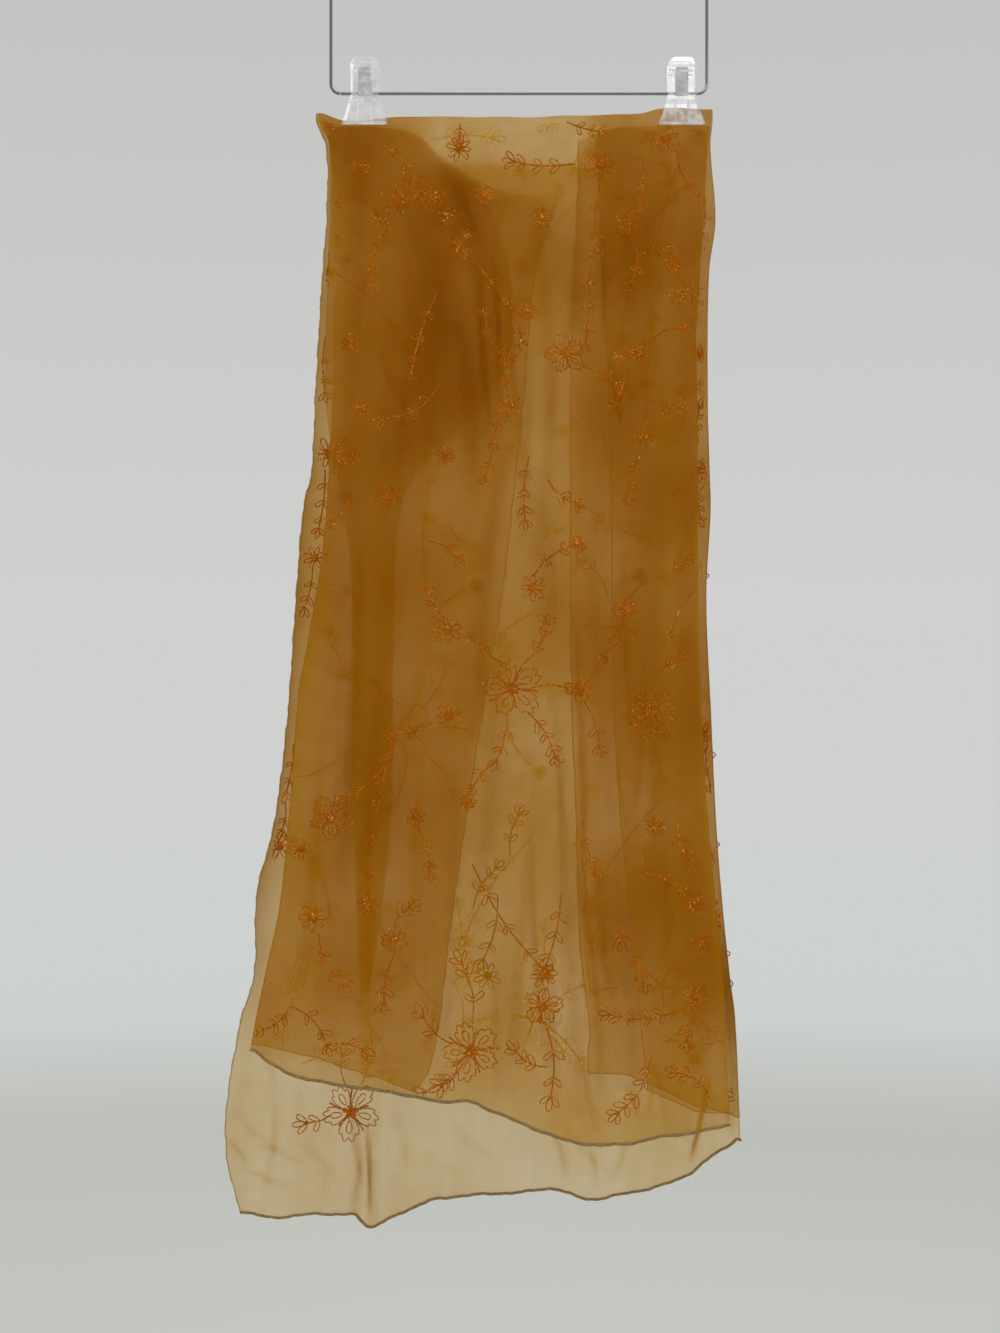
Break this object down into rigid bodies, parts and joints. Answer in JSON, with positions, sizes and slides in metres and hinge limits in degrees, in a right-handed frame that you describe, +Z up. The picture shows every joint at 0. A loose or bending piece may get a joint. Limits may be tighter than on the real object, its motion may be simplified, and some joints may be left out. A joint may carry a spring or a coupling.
{
  "type": "organza scarf on clip hanger",
  "caption": "Sheer organza scarf folded over at half its length, long sides turned in, held by the clips of a wire hanger with its longer half behind.",
  "frame": {"origin": "the point inside the top of the hook that rests on a rail", "axes": "+Z up, +X to the right across the clip bar seen from the front, the front half of the scarf towards -Y"},
  "size_m": [0.4977, 0.0722, 1.3598],
  "materials": {
    "organza": "sheer plain weave, crisp, faint sheen",
    "rolled_hem": "narrow rolled hem, matt thread",
    "embroidery": "fine rust thread with metallic glints",
    "chrome_wire": "polished",
    "clear_plastic": "clear moulded plastic",
    "spring_steel": "bright strip"
  },
  "bodies": {
    "root": {"front_drop": "organza", "back_drop": "organza", "front_left_turn": "organza", "front_right_turn": "organza", "back_left_turn": "organza", "back_right_turn": "organza", "front_hem": "rolled_hem", "back_hem": "rolled_hem", "back_side_hem": "rolled_hem", "front_left_turn_hem": "rolled_hem", "front_right_turn_hem": "rolled_hem", "back_right_turn_hem": "rolled_hem", "hanger_hook": "chrome_wire", "hanger_boss": "chrome_wire", "hanger_shoulder_left": "chrome_wire", "hanger_shoulder_right": "chrome_wire", "hanger_upright_left": "chrome_wire", "hanger_upright_right": "chrome_wire", "hanger_bar": "chrome_wire", "left_clip_front": "clear_plastic", "left_clip_back": "clear_plastic", "left_clip_spring": "spring_steel", "right_clip_front": "clear_plastic", "right_clip_back": "clear_plastic", "right_clip_spring": "spring_steel"}
  },
  "joints": []
}
